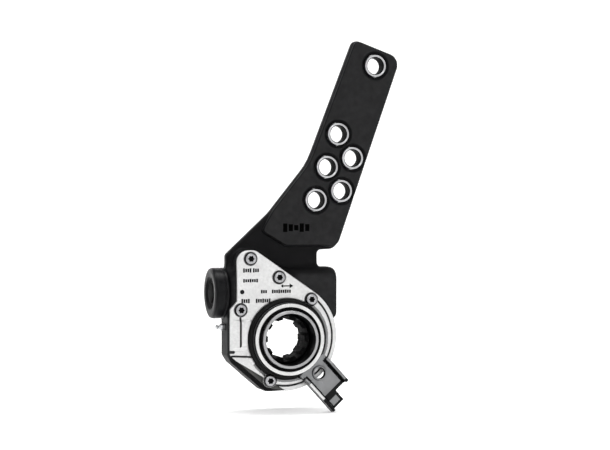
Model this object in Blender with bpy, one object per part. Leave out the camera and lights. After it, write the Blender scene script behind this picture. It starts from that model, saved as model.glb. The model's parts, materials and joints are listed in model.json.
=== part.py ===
"""Automatic slack adjuster for an S-cam drum brake, as an assembly of its separate pieces.

Frame: the origin lies on the axis of the splined camshaft bore, in the plane of the worm axis.
+X points right, +Z up and -Y out of the cover. Lengths below are millimetres. Depths along the
bore axis are given as heights above the worm plane towards the cover, so a height h is y = -h.
"""

import math

import bmesh
import bpy
from mathutils import Vector

MM = 0.001
GAP = 0.3

# Lever arm: stations lie along the arm axis from the bore, offsets lie to its right.
ARM_TILT = math.radians(19.6)
ARM_LENGTH = 262.0
ARM_LEFT = -24.5
ARM_RIGHT = 20.0
ARM_BACK = 0.0
ARM_FACE = 12.0
NECK_FACE = 7.5
CLEVIS_HOLES = ((120, -12), (150, -12), (180, -12), (135, 7), (165, 7), (247, 0))
BUSH_OUTER = 9.4
BUSH_BORE = 7.15

# Housing
HOUSING_BACK = -13.0
HOUSING_FRONT = 17.0
REAR_BOSS_BACK = -16.0
REAR_BOSS_RADIUS = 30.0
DRUM_CENTRE = (-1.0, 1.5)
DRUM_RADIUS = 45.5
HOUSING_LEFT = -50.0
HOUSING_RIGHT = 47.0

# Worm gear set
WORM_HEIGHT = 38.5
WORM_PITCH_RADIUS = 8.5
WORM_THREAD_HEIGHT = 2.5
WORM_HALF_LENGTH = 14.0
WORM_BORE = 11.6
WHEEL_TEETH = 20
WHEEL_PITCH_RADIUS = WORM_HEIGHT - WORM_PITCH_RADIUS
AXIAL_PITCH = 2 * math.pi * WHEEL_PITCH_RADIUS / WHEEL_TEETH
WHEEL_CAVITY = 33.3
WHEEL_HALF_FACE = 7.0
HUB_RADIUS = 22.5
HUB_RELIEF = 21.6
SPLINED_HUB = 20.2
SEAL_BORE = 26.2
SPLINE_BACK = -1.5
SPLINE_FRONT = 20.0
SPLINE_COUNT = 10
SPLINE_MAJOR = 19.05
SPLINE_MINOR = 16.2
SHAFT_RADIUS = 4.5
THRUST_WASHER_RADIUS = 9.0
SPRING_SEAT_RADIUS = 10.2

# Rack and pinion of the adjusting mechanism
RACK_X = -33.0
RACK_WIDTH = 6.0
RACK_BOTTOM = -6.5
RACK_TOP = 53.5
RACK_BACK = 9.6
RACK_FRONT = 16.6
PINION_TEETH = 10
PINION_RADIUS = 8.0
RACK_PITCH = 2 * math.pi * PINION_RADIUS / PINION_TEETH
LUG_RADIUS = 33.0
LUG_TIP = 3.2
LUG_BACK = 12.6
LUG_FRONT = 15.4
CHANNEL_TOP = 64.0

# Cover and control unit
COVER_BACK = 18.3
COVER_FRONT = 21.3
COVER_HOLE = 27.2
RECESS_RADIUS = 34.8
RECESS_FLOOR = 19.4
DUST_SEAL_RADIUS = 32.8
COVER_SCREWS = ((-32, 68), (-7, 52), (21.5, 33), (-40.5, 25), (-15, -35), (32.3, -21.3))
SCREW_HEAD = 5.0
SCREW_SHANK = 2.7
SCREW_TIP = 9.8
CONTROL_NECK = 25.5
CONTROL_BORE = 21.6
CONTROL_FLANGE = 30.75
CONTROL_BACK = 8.0
CONTROL_FRONT = 30.0
CONTROL_SLEEVE = 33.0
BRACKET_BACK = 24.1
BRACKET_FRONT = 26.7
BRACKET_ANGLE = math.radians(-47.6)
BRACKET_HALF_WIDTH = 14.0
BRACKET_RING = 31.0
FLANGE_START = 34.0
BRACKET_SHORT = 61.0
BRACKET_LONG = 71.5
ANCHOR_REACH = 39.5
ANCHOR_RADIUS = 4.8
FLANGE_HEIGHT = 32.5

CAP_RADIUS = 21.5
CAP_FACE = -62.0

COLOURS = {
    "black_paint": ((0.018, 0.018, 0.020), 0.38, 0.0),
    "cover_zinc": ((0.80, 0.80, 0.79), 0.32, 1.0),
    "machined_steel": ((0.58, 0.58, 0.57), 0.26, 1.0),
    "zinc_steel": ((0.46, 0.47, 0.48), 0.36, 1.0),
    "dark_steel": ((0.20, 0.20, 0.21), 0.35, 1.0),
    "spring_steel": ((0.30, 0.30, 0.31), 0.33, 1.0),
    "bronze": ((0.60, 0.42, 0.20), 0.34, 1.0),
    "black_plastic": ((0.020, 0.020, 0.022), 0.45, 0.0),
    "rubber": ((0.030, 0.030, 0.030), 0.75, 0.0),
    "gasket": ((0.09, 0.09, 0.09), 0.85, 0.0),
}


def clear_scene():
    for item in list(bpy.data.objects):
        bpy.data.objects.remove(item, do_unlink=True)


def material(name):
    found = bpy.data.materials.get(name)
    if found:
        return found
    colour, roughness, metallic = COLOURS[name]
    made = bpy.data.materials.new(name)
    made.use_nodes = True
    shader = made.node_tree.nodes["Principled BSDF"]
    shader.inputs["Base Color"].default_value = (*colour, 1.0)
    shader.inputs["Roughness"].default_value = roughness
    shader.inputs["Metallic"].default_value = metallic
    return made


# Outlines -----------------------------------------------------------------------------------


def arc(centre, radius, start, end, steps):
    """Points on a circle from start to end, both in degrees."""
    points = []
    for i in range(steps + 1):
        angle = math.radians(start + (end - start) * i / steps)
        points.append((centre[0] + radius * math.cos(angle), centre[1] + radius * math.sin(angle)))
    return points


def filleted(corners, step=20.0):
    """Outline through corners given as (x, z, fillet radius)."""
    outline = []
    count = len(corners)
    for i, (x, z, radius) in enumerate(corners):
        here = Vector((x, z))
        if radius <= 0:
            outline.append((x, z))
            continue
        before = (Vector(corners[i - 1][:2]) - here).normalized()
        after = (Vector(corners[(i + 1) % count][:2]) - here).normalized()
        half = before.angle(after) / 2
        centre = here + (before + after).normalized() * (radius / math.sin(half))
        first = here + before * (radius / math.tan(half)) - centre
        turn = math.degrees(math.pi - 2 * half)
        side = 1 if before.cross(after) < 0 else -1
        steps = max(1, round(turn / step))
        for k in range(steps + 1):
            angle = side * math.radians(turn) * k / steps
            cos, sin = math.cos(angle), math.sin(angle)
            x = centre.x + first.x * cos - first.y * sin
            z = centre.y + first.x * sin + first.y * cos
            outline.append((x, z))
    return outline


def arm_point(station, offset):
    """A point of the lever arm, from its distance along the arm and its distance to the right."""
    along = Vector((math.sin(ARM_TILT), math.cos(ARM_TILT)))
    across = Vector((math.cos(ARM_TILT), -math.sin(ARM_TILT)))
    return tuple(along * station + across * offset)


def bracket_point(reach, offset):
    """A point of the control arm, from its distance to the bore and its distance to the left."""
    along = Vector((math.cos(BRACKET_ANGLE), math.sin(BRACKET_ANGLE)))
    across = Vector((-along.y, along.x))
    return tuple(along * reach + across * offset)


def cover_outline(grow=0.0):
    """Cover shape: a round part about the bore, with a corner over the rack at the upper left."""
    hypotenuse_angle = 56.2
    round_part = arc(DRUM_CENTRE, DRUM_RADIUS + grow, hypotenuse_angle, -111.0, 18)
    left = -49.7 - grow
    top = 75.0 + grow
    corner = filleted(
        [
            (*round_part[-1], 0),
            (left, -13.0 - grow, 4),
            (left, 26.0, 2),
            (-43.8 - grow, 32.5, 2),
            (-43.8 - grow, top, 10),
            (-27.4 + grow, top, 8),
            (*round_part[0], 0),
        ]
    )
    return round_part + corner[1:-1]


# Meshes -------------------------------------------------------------------------------------


def finish(name, mesh_data, finish_name, smooth=True):
    bmesh.ops.remove_doubles(mesh_data, verts=mesh_data.verts, dist=0.001 * MM)
    bmesh.ops.recalc_face_normals(mesh_data, faces=mesh_data.faces)
    mesh = bpy.data.meshes.new(name)
    mesh_data.to_mesh(mesh)
    mesh_data.free()
    if smooth:
        mesh.shade_smooth()
        mesh.set_sharp_from_angle(angle=math.radians(32))
    made = bpy.data.objects.new(name, mesh)
    bpy.context.scene.collection.objects.link(made)
    if finish_name:
        mesh.materials.append(material(finish_name))
    return made


def skin(name, rings, finish_name, closed=False):
    """Surface through rings of equally many points, in mm, capped at both ends unless it is closed."""
    mesh_data = bmesh.new()
    loops = [[mesh_data.verts.new(Vector(point) * MM) for point in ring] for ring in rings]
    pairs = list(zip(loops, loops[1:]))
    if closed:
        pairs.append((loops[-1], loops[0]))
    else:
        mesh_data.faces.new(loops[0])
        mesh_data.faces.new(loops[-1])
    for low, high in pairs:
        for i in range(len(low)):
            j = (i + 1) % len(low)
            mesh_data.faces.new((low[i], low[j], high[j], high[i]))
    return finish(name, mesh_data, finish_name)


def prism(name, outline, low, high, finish_name, axis="Y"):
    """Outline in XZ between two heights above the worm plane, or in YZ between two X positions."""
    if axis == "Y":
        rings = [[(x, -height, z) for x, z in outline] for height in (low, high)]
    else:
        rings = [[(place, -h, z) for h, z in outline] for place in (low, high)]
    return skin(name, rings, finish_name)


def turned(name, profile, axis, centre, finish_name, segments=32):
    """Solid turned about an axis from a closed profile of (place along the axis, radius)."""
    rings = []
    for k in range(segments):
        angle = 2 * math.pi * k / segments
        cos, sin = math.cos(angle), math.sin(angle)
        ring = []
        for place, radius in profile:
            if axis == "Y":
                ring.append((centre[0] + radius * cos, -place, centre[1] + radius * sin))
            elif axis == "X":
                ring.append((place, centre[0] + radius * cos, centre[1] + radius * sin))
            else:
                ring.append((centre[0] + radius * cos, centre[1] + radius * sin, place))
        rings.append(ring)
    made = skin(name, rings, finish_name, closed=True)
    if any(radius == 0 for _, radius in profile):
        close_poles(made)
    return made


def close_poles(made):
    """Removes the zero-width faces that a profile on the axis leaves."""
    mesh_data = bmesh.new()
    mesh_data.from_mesh(made.data)
    bmesh.ops.remove_doubles(mesh_data, verts=mesh_data.verts, dist=0.001 * MM)
    bmesh.ops.dissolve_degenerate(mesh_data, edges=mesh_data.edges, dist=0.001 * MM)
    bmesh.ops.recalc_face_normals(mesh_data, faces=mesh_data.faces)
    mesh_data.to_mesh(made.data)
    mesh_data.free()


def ring_profile(low, high, inner, outer):
    return [(low, inner), (high, inner), (high, outer), (low, outer)]


def coil(name, axis, centre, start, end, turns, radius, wire, finish_name, per_turn=10, sides=5):
    """Helical spring between two places along the axis, with its end turns closed up."""
    rings = []
    steps = int(turns * per_turn)
    for k in range(steps + 1):
        share = k / steps
        eased = share + 0.10 * math.sin(2 * math.pi * (share - 0.5)) / math.pi
        place = start + wire + (end - start - 2 * wire) * eased
        angle = 2 * math.pi * turns * share
        cos, sin = math.cos(angle), math.sin(angle)
        ring = []
        for s in range(sides):
            around = 2 * math.pi * s / sides
            reach = radius + wire * math.cos(around)
            along = place + wire * math.sin(around)
            if axis == "X":
                ring.append((along, centre[0] + reach * cos, centre[1] + reach * sin))
            else:
                ring.append((centre[0] + reach * cos, centre[1] + reach * sin, along))
        rings.append(ring)
    return skin(name, rings, finish_name)


def combine(target, other, operation):
    """Adds, cuts or intersects another solid, which then only serves as a guide."""
    step = target.modifiers.new(other.name, "BOOLEAN")
    step.operation = operation
    step.object = other
    step.solver = "EXACT"
    other.hide_render = True
    other.display_type = "WIRE"


def add(target, other):
    combine(target, other, "UNION")


def cut(target, other):
    combine(target, other, "DIFFERENCE")


def box(name, low, high):
    """Guide block between two corners given as (x, height, z)."""
    outline = [(low[0], low[2]), (high[0], low[2]), (high[0], high[2]), (low[0], high[2])]
    return prism(name, outline, low[1], high[1], None)


def hole(name, place, low, high, radius, segments=18):
    """Guide rod along the bore axis."""
    return prism(name, arc(place, radius, 0, 360 - 360 / segments, segments - 1), low, high, None)


# Housing and its fixed pieces ---------------------------------------------------------------


def arm_outline():
    """Lever arm and neck, down to the worm barrel."""
    left_edge = [(*arm_point(148, -28), 60), (*arm_point(97, -46), 30)]
    return filleted(
        [
            (*arm_point(ARM_LENGTH, ARM_LEFT), 5),
            (*arm_point(ARM_LENGTH, ARM_RIGHT), 10),
            (*arm_point(87, ARM_RIGHT), 9),
            (31.5, 74.5, 3.5),
            (31.5, 58.0, 3.5),
            (40.0, 58.0, 0),
            (40.0, 30.0, 0),
            (-49.5, 30.0, 0),
            (-49.5, 71.0, 4),
            *reversed(left_edge),
        ]
    )


def arm_pad_outline():
    """Raised face of the lever arm, which ends above the neck."""
    inset = 0.8
    return filleted(
        [
            (*arm_point(ARM_LENGTH - inset, ARM_LEFT + inset), 5),
            (*arm_point(ARM_LENGTH - inset, ARM_RIGHT - inset), 10),
            (*arm_point(89, ARM_RIGHT - inset), 8),
            (33.0, 78.4, 2),
            (2.0, 78.4, 4),
            (-19.0, 91.0, 3),
            (*arm_point(97 + inset, -46 + inset), 30),
            (*arm_point(148, -28 + inset), 60),
        ]
    )


def barrel_outline():
    """Section of the worm barrel, as (height, z)."""
    back, front = HOUSING_BACK - 3.0, HOUSING_FRONT - 0.2
    low, high = WORM_HEIGHT - 21.0, WORM_HEIGHT + 21.0
    return filleted([(back, low, 8), (front, low, 1), (front, high, 9), (back, high, 12)], 30)


def cut_rack_space(target):
    """Cuts the channel of the rack, and the window through which the control disc reaches it."""
    half = RACK_WIDTH / 2 + 0.4
    name = target.name
    cut(target, box(f"{name}_channel", (RACK_X - half, 3.0, -14.0), (RACK_X + half, 30.0, CHANNEL_TOP)))
    cut(target, box(f"{name}_window", (RACK_X - 5.0, LUG_BACK - 0.4, -11.0), (-20.0, 30.0, 8.5)))


def make_housing():
    housing = prism("housing", arm_outline(), ARM_BACK, NECK_FACE, "black_paint")
    add(housing, prism("arm_pad", arm_pad_outline(), ARM_BACK + 2.0, ARM_FACE, None))
    add(housing, prism("cover_seat", cover_outline(), -6.0, HOUSING_FRONT, None))
    drum = arc(DRUM_CENTRE, DRUM_RADIUS - 1.0, 0, 348, 29)
    add(housing, prism("drum", drum, HOUSING_BACK, 6.0, None))
    boss = arc((0, 0), REAR_BOSS_RADIUS, 0, 348, 29)
    add(housing, prism("rear_boss", boss, REAR_BOSS_BACK, 0.0, None))
    barrel = prism("barrel", barrel_outline(), HOUSING_LEFT, HOUSING_RIGHT, None, "X")
    low, high = WORM_HEIGHT - 25.0, WORM_HEIGHT + 21.0
    ends = [(HOUSING_LEFT - 5, high + 5, 0), (HOUSING_RIGHT, high + 0.2, 9), (HOUSING_RIGHT, low, 6)]
    ends += [(0.0, low, 0), (HOUSING_LEFT - 5, low, 0)]
    combine(barrel, prism("barrel_ends", filleted(ends), -40.0, 40.0, None), "INTERSECT")
    add(housing, barrel)

    cut(housing, hole("wheel_cavity", (0, 0), -9.6, 30.0, WHEEL_CAVITY, 36))
    cut(housing, hole("wheel_bearing_bore", (0, 0), -30.0, 0.0, HUB_RADIUS + 0.4, 28))
    cut(housing, hole("seal_bore", (0, 0), -30.0, HOUSING_BACK, SEAL_BORE, 28))
    axis_place = (0, WORM_HEIGHT)
    worm_bore = [(HOUSING_LEFT - 5, 0), (HOUSING_LEFT - 5, WORM_BORE), (38.0, WORM_BORE), (38.0, 0)]
    cut(housing, turned("worm_bore", worm_bore, "X", axis_place, None, 24))
    shaft_hole = [(30.0, 0), (30.0, 5.2), (40.0, 5.2), (40.0, 8.6), (60.0, 8.6), (60.0, 0)]
    cut(housing, turned("adjuster_bore", shaft_hole, "X", axis_place, None, 16))

    cut_rack_space(housing)
    for i, place in enumerate(COVER_SCREWS, 1):
        cut(housing, hole(f"screw_hole_{i}", place, SCREW_TIP - 0.6, 30.0, SCREW_SHANK + 0.3, 12))
    for i, (station, offset) in enumerate(CLEVIS_HOLES, 1):
        cut(housing, hole(f"bush_seat_{i}", arm_point(station, offset), -20.0, 20.0, BUSH_OUTER + 0.3))
    nipple_hole = [(HOUSING_LEFT - 5, 0), (HOUSING_LEFT - 5, 3.3), (-45.2, 3.3), (-45.2, 0)]
    cut(housing, turned("nipple_hole", nipple_hole, "X", (-4.0, 10.0), None, 12))
    return housing


def make_bushes():
    back, face = ARM_BACK - 0.4, ARM_FACE + 0.4
    profile = [(back, BUSH_BORE), (face - 0.8, BUSH_BORE), (face, BUSH_BORE + 0.8)]
    profile += [(face, BUSH_OUTER - 0.6), (face - 0.6, BUSH_OUTER), (back, BUSH_OUTER)]
    for i, (station, offset) in enumerate(CLEVIS_HOLES, 1):
        turned(f"clevis_bush_{i}", profile, "Y", arm_point(station, offset), "zinc_steel", 18)


def make_cover():
    cover = prism("cover_plate", cover_outline(), COVER_BACK, COVER_FRONT, "cover_zinc")
    rack_box = [(-49.2, -8.0, 1), (-31.0, -8.0, 1), (-31.0, 14.0, 3), (-38.0, 18.5, 0)]
    rack_box += [(-49.2, 18.5, 1)]
    top = COVER_FRONT + 1.8
    add(cover, prism("rack_box", filleted(rack_box), COVER_BACK + 0.5, top, None))
    cut(cover, hole("seal_recess", (0, 0), RECESS_FLOOR, 40.0, RECESS_RADIUS, 36))
    cut(cover, hole("cover_hole", (0, 0), 0.0, 40.0, COVER_HOLE, 36))
    for i, place in enumerate(COVER_SCREWS, 1):
        cut(cover, hole(f"cover_screw_hole_{i}", place, 10.0, 30.0, SCREW_SHANK + 0.3, 12))

    gasket = prism("cover_gasket", cover_outline(-0.4), HOUSING_FRONT + GAP, COVER_BACK - GAP, "gasket")
    cut(gasket, hole("gasket_hole", (0, 0), 0.0, 40.0, WHEEL_CAVITY + 0.3, 36))
    cut_rack_space(gasket)
    for i, place in enumerate(COVER_SCREWS, 1):
        cut(gasket, hole(f"gasket_screw_hole_{i}", place, 10.0, 30.0, SCREW_SHANK + 0.3, 12))


def lobed(radius, depth, count, points):
    """Round outline with lobes, as used for the drive of a screw."""
    outline = []
    for k in range(points):
        angle = 2 * math.pi * k / points
        reach = radius - depth * (0.5 - 0.5 * math.cos(count * angle))
        outline.append((reach * math.cos(angle), reach * math.sin(angle)))
    return outline


def make_screws():
    points = 12
    under_head = COVER_FRONT + GAP
    top = under_head + 2.1
    sections = [
        (SCREW_TIP, lobed(SCREW_SHANK - 0.6, 0, 1, points)),
        (SCREW_TIP + 0.8, lobed(SCREW_SHANK, 0, 1, points)),
        (under_head, lobed(SCREW_SHANK, 0, 1, points)),
        (under_head, lobed(SCREW_HEAD, 0, 1, points)),
        (top - 0.8, lobed(SCREW_HEAD, 0, 1, points)),
        (top, lobed(SCREW_HEAD - 0.8, 0, 1, points)),
        (top, lobed(2.7, 0.6, 6, points)),
        (top - 1.6, lobed(2.7, 0.6, 6, points)),
    ]
    for i, (x, z) in enumerate(COVER_SCREWS, 1):
        rings = [[(x + dx, -height, z + dz) for dx, dz in outline] for height, outline in sections]
        skin(f"cover_screw_{i}", rings, "zinc_steel")


def make_nipple():
    profile = [(-58.0, 0), (-58.0, 1.3), (-56.6, 2.0), (-55.4, 1.4), (-54.6, 1.5), (-53.6, 2.9)]
    profile += [(-50.3, 2.9), (-50.3, 2.7), (-45.6, 2.7), (-45.6, 0)]
    turned("grease_nipple", profile, "X", (-4.0, 10.0), "zinc_steel", 14)


def make_cap():
    back = HOUSING_LEFT - GAP
    profile = [(CAP_FACE, 0), (CAP_FACE, CAP_RADIUS - 2.2), (CAP_FACE + 0.7, CAP_RADIUS - 0.7)]
    profile += [(CAP_FACE + 2.2, CAP_RADIUS), (back, CAP_RADIUS), (back, 18.2), (back - 2.0, 18.2)]
    profile += [(back - 2.0, 15.6), (back, 15.6), (back, 13.0), (CAP_FACE + 3.0, 13.0)]
    profile += [(CAP_FACE + 3.0, 0)]
    turned("worm_bore_cap", profile, "X", (0, WORM_HEIGHT), "black_plastic", 28)
    section = [(back - 1.0 + 0.75 * x, 16.9 + 0.75 * r) for x, r in arc((0, 0), 1, 0, 300, 5)]
    turned("cap_o_ring", section, "X", (0, WORM_HEIGHT), "rubber", 24)


def make_housing_trim():
    axis_place = (0, WORM_HEIGHT)
    turned("adjuster_seal", ring_profile(40.3, 41.8, 4.9, 8.3), "X", axis_place, "rubber", 18)
    bearing = ring_profile(-27.5, -19.0, 4.9, WORM_BORE - 0.3)
    turned("worm_bearing", bearing, "X", axis_place, "bronze", 24)
    seal = ring_profile(REAR_BOSS_BACK + 0.2, HOUSING_BACK - GAP, HUB_RADIUS + GAP, SEAL_BORE - 0.4)
    turned("rear_seal", seal, "Y", (0, 0), "rubber", 28)
    turned("wheel_thrust_washer", ring_profile(7.4, 8.4, 26.0, 29.6), "Y", (0, 0), "bronze", 28)
    top = CHANNEL_TOP - GAP
    coil("rack_spring", "Z", (RACK_X, -13.0), RACK_TOP + GAP, top, 4.5, 1.7, 0.4, "spring_steel", 8, 4)


# Worm gear set ------------------------------------------------------------------------------


def make_worm_wheel():
    """Helical wheel that meets the worm, and the hub in it with the camshaft spline."""
    lead_slope = AXIAL_PITCH / (2 * math.pi * WORM_PITCH_RADIUS)
    tooth = ((-0.27, 26.6), (-0.115, 32.4), (0.115, 32.4), (0.27, 26.6))
    minor, major = SPLINE_MINOR, SPLINE_MAJOR
    spline = ((0.02, minor), (0.21, major), (0.5, major), (0.79, major), (0.98, minor))

    def repeated(height, count, pattern, twist=0.0):
        """Ring whose pattern, of shares of a tooth's angle and radii, comes again with each tooth."""
        ring = []
        for k in range(count):
            for share, radius in pattern:
                angle = (k + share) * 2 * math.pi / count + twist
                ring.append((radius * math.cos(angle), -height, radius * math.sin(angle)))
        return ring

    def toothed(height):
        return repeated(height, WHEEL_TEETH, tooth, lead_slope * height / WHEEL_PITCH_RADIUS)

    def plain(height, radius):
        return repeated(height, WHEEL_TEETH, [(share, radius) for share, _ in tooth])

    back, face = -WHEEL_HALF_FACE, WHEEL_HALF_FACE
    seat, step = SPLINED_HUB + GAP, SPLINE_BACK - GAP
    rings = [plain(face, seat), plain(step, seat), plain(step, HUB_RELIEF)]
    rings += [plain(back - 8.5, HUB_RELIEF), plain(back - 8.5, HUB_RADIUS)]
    rings += [plain(back - 0.5, HUB_RADIUS), toothed(back), toothed(0.0), toothed(face)]
    skin("worm_wheel", rings, "dark_steel", closed=True)

    wall = [(share, SPLINED_HUB) for share in (0.02, 0.25, 0.5, 0.75, 0.98)]
    ends = ((SPLINE_BACK, spline), (SPLINE_BACK, wall), (SPLINE_FRONT, wall), (SPLINE_FRONT, spline))
    rings = [repeated(height, SPLINE_COUNT, pattern) for height, pattern in ends]
    skin("splined_hub", rings, "dark_steel", closed=True)


def make_worm_shaft():
    """Shaft with its single thread, and the hexagon for the wrench at its right end."""
    core = WORM_PITCH_RADIUS - WORM_THREAD_HEIGHT - 0.4
    half = WORM_HALF_LENGTH
    profile = [(-55.0, 0), (-55.0, SHAFT_RADIUS - 0.5), (-54.5, SHAFT_RADIUS)]
    profile += [(-half - 3.0, SHAFT_RADIUS), (-half - 3.0, core), (half, core), (half, SHAFT_RADIUS)]
    profile += [(42.4, SHAFT_RADIUS), (42.4, 0)]
    shaft = turned("worm_shaft", profile, "X", (0, WORM_HEIGHT), "dark_steel", 16)

    per_turn = 16
    turns = 2 * (half - 3.0) / AXIAL_PITCH
    steps = int(turns * per_turn)
    root_half, tip_half = 2.55, 1.15
    tip = WORM_PITCH_RADIUS + WORM_THREAD_HEIGHT
    section = ((-root_half, core - 0.8), (-root_half, core), (-tip_half, tip), (tip_half, tip))
    section += ((root_half, core), (root_half, core - 0.8))
    rings = []
    for k in range(steps + 1):
        turn = k / per_turn - turns / 2
        angle = 2 * math.pi * turn + math.pi / 2
        ring = []
        for along, radius in section:
            x = AXIAL_PITCH * turn + along
            ring.append((x, radius * math.cos(angle), WORM_HEIGHT + radius * math.sin(angle)))
        rings.append(ring)
    add(shaft, skin("worm_thread", rings, None))

    hexagon = arc((0, WORM_HEIGHT), 6.9, 0, 300, 5)
    add(shaft, prism("adjuster_hexagon", hexagon, 42.2, 46.0, None, "X"))


def make_clutch():
    axis_place = (0, WORM_HEIGHT)
    profile = [(-46.5, 4.8), (-44.2, 4.8), (-44.2, 9.2), (-37.7, 9.2), (-37.7, 11.2), (-46.5, 11.2)]
    turned("clutch_ring", profile, "X", axis_place, "dark_steel", 24)
    coil("one_way_spring", "X", axis_place, -42.8, -36.9, 4.0, 7.6, 0.6, "spring_steel", 12, 4)


def make_pinion():
    """Ten-tooth pinion with the sleeve that carries the one-way spring."""
    tooth = ((-0.5, 6.0), (-0.26, 6.3), (-0.10, 9.2), (0.10, 9.2), (0.26, 6.3))

    def ring(x, radii):
        points = []
        for k in range(PINION_TEETH):
            for (share, _), radius in zip(tooth, radii):
                angle = (k + share) * 2 * math.pi / PINION_TEETH + math.pi
                points.append((x, radius * math.cos(angle), WORM_HEIGHT + radius * math.sin(angle)))
        return points

    def plain(x, radius):
        return ring(x, [radius] * len(tooth))

    def toothed(x):
        return ring(x, [radius for _, radius in tooth])

    left, right = RACK_X - RACK_WIDTH / 2, RACK_X + RACK_WIDTH / 2
    rings = [plain(-43.0, 4.9), plain(-43.0, 5.9), plain(left, 5.9)]
    rings += [toothed(left), toothed(right), plain(right, 4.9)]
    skin("pinion", rings, "dark_steel", closed=True)


def make_rack():
    """Toothed bar that the control disc lifts and lowers."""
    tip = PINION_RADIUS - 1.1
    first = WORM_HEIGHT - 1.5 * RACK_PITCH
    outline = [(RACK_FRONT, RACK_BOTTOM), (RACK_FRONT, RACK_TOP), (RACK_BACK, RACK_TOP)]
    for k in reversed(range(5)):
        z = first + k * RACK_PITCH
        outline += [(RACK_BACK, z + 1.55), (tip, z + 0.55), (tip, z - 0.55), (RACK_BACK, z - 1.55)]
    outline += [(RACK_BACK, RACK_BOTTOM)]
    rack = prism("rack", outline, RACK_X - RACK_WIDTH / 2, RACK_X + RACK_WIDTH / 2, "dark_steel", "X")
    slot = LUG_TIP + 0.25
    cut(rack, box("lug_slot", (RACK_X - 20.0, LUG_BACK - 0.4, -slot), (RACK_X + 20.0, 30.0, slot)))


def make_thrust_parts():
    axis_place = (0, WORM_HEIGHT)
    washer = ring_profile(14.4, 16.4, 4.9, THRUST_WASHER_RADIUS)
    turned("thrust_washer", washer, "X", axis_place, "bronze", 24)
    flange = SPRING_SEAT_RADIUS
    profile = [(16.7, 4.9), (21.5, 4.9), (21.5, 6.0), (18.7, 6.0), (18.7, flange), (16.7, flange)]
    turned("spring_seat", profile, "X", axis_place, "zinc_steel", 24)
    coil("main_spring", "X", axis_place, 18.9, 37.8, 5.0, 8.9, 1.3, "spring_steel")


# Control unit -------------------------------------------------------------------------------


def make_control_unit():
    under = BRACKET_FRONT + GAP
    front, sleeve = CONTROL_FRONT, CONTROL_SLEEVE
    profile = [(CONTROL_BACK, CONTROL_BORE), (sleeve - 0.5, CONTROL_BORE)]
    profile += [(sleeve, CONTROL_BORE + 0.5), (sleeve, 24.0), (sleeve - 0.5, 24.4)]
    profile += [(front - 1.8, 24.6), (front - 1.8, 27.0), (front, 27.4)]
    profile += [(front, CONTROL_FLANGE - 0.5), (front - 0.8, CONTROL_FLANGE)]
    profile += [(under, CONTROL_FLANGE), (under, CONTROL_NECK), (CONTROL_BACK, CONTROL_NECK)]
    turned("control_hub", profile, "Y", (0, 0), "machined_steel", 36)
    section = [(19.8 + 0.5 * h, 26.35 + 0.5 * r) for h, r in arc((0, 0), 1, 0, 300, 5)]
    turned("hub_o_ring", section, "Y", (0, 0), "rubber", 28)
    lip, top = COVER_FRONT + GAP, BRACKET_BACK - GAP
    profile = [(RECESS_FLOOR + GAP, 27.5), (top, 27.5), (top, DUST_SEAL_RADIUS)]
    profile += [(lip, DUST_SEAL_RADIUS), (COVER_FRONT - 0.2, RECESS_RADIUS - GAP)]
    profile += [(RECESS_FLOOR + GAP, RECESS_RADIUS - GAP)]
    turned("dust_seal", profile, "Y", (0, 0), "rubber", 32)

    ring = ring_profile(LUG_BACK, LUG_FRONT, CONTROL_NECK + GAP, 28.6)
    disc = turned("control_disc", ring, "Y", (0, 0), "zinc_steel", 36)
    half = LUG_TIP - 0.6
    finger = [(-27.5, half), (-LUG_RADIUS, half), (-LUG_RADIUS, -half), (-27.5, -half)]
    add(disc, prism("lug_finger", finger, LUG_BACK, LUG_FRONT, None))
    add(disc, prism("lug_tip", arc((-LUG_RADIUS, 0), LUG_TIP, 0, 337.5, 15), LUG_BACK, LUG_FRONT, None))


def make_bracket():
    """Control arm: a ring under the hub's flange, and a channel out to the anchor bolt."""
    ring = ring_profile(BRACKET_BACK, BRACKET_FRONT, CONTROL_NECK + GAP, BRACKET_RING)
    bracket = turned("control_arm_bracket", ring, "Y", (0, 0), "zinc_steel", 36)
    half, inside = BRACKET_HALF_WIDTH, BRACKET_HALF_WIDTH - 2.6
    low, web, high = BRACKET_BACK + 0.1, BRACKET_FRONT - 0.1, FLANGE_HEIGHT
    section = [(-half, low), (half, low), (half, high), (inside, high), (inside, web)]
    section += [(-inside, web), (-inside, high), (-half, high)]
    rings = []
    for reach in (BRACKET_RING - 2.0, BRACKET_LONG):
        places = [(bracket_point(reach, offset), height) for offset, height in section]
        rings.append([(x, -height, z) for (x, z), height in places])
    add(bracket, skin("bracket_channel", rings, None))
    cut(bracket, hole("flange_start", (0, 0), BRACKET_FRONT, 40.0, FLANGE_START, 36))
    beyond = BRACKET_LONG + 5.0
    step = ((BRACKET_SHORT, 20.0), (beyond, 20.0), (beyond, 1.0), (BRACKET_SHORT, 1.0))
    cut(bracket, prism("end_step", [bracket_point(*place) for place in step], 10.0, 40.0, None))
    cut(bracket, hole("anchor_hole", bracket_point(ANCHOR_REACH, 0), 0.0, 50.0, ANCHOR_RADIUS, 20))


def main():
    clear_scene()
    make_housing()
    make_bushes()
    make_cover()
    make_screws()
    make_nipple()
    make_cap()
    make_housing_trim()
    make_worm_wheel()
    make_worm_shaft()
    make_clutch()
    make_pinion()
    make_rack()
    make_thrust_parts()
    make_control_unit()
    make_bracket()


main()
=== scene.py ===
"""Looks of an automatic slack adjuster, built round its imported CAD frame.

Shapes are worked out in millimetres. Heights are counted along the axis of the bore, from the
worm's axis towards the cover, so a height h is y = -h. Castings and pressings are distance fields,
whose surface is drawn as a fine mesh with rounded edges and fillets, and turned pieces are spun
profiles.
"""

import json
import math

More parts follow.
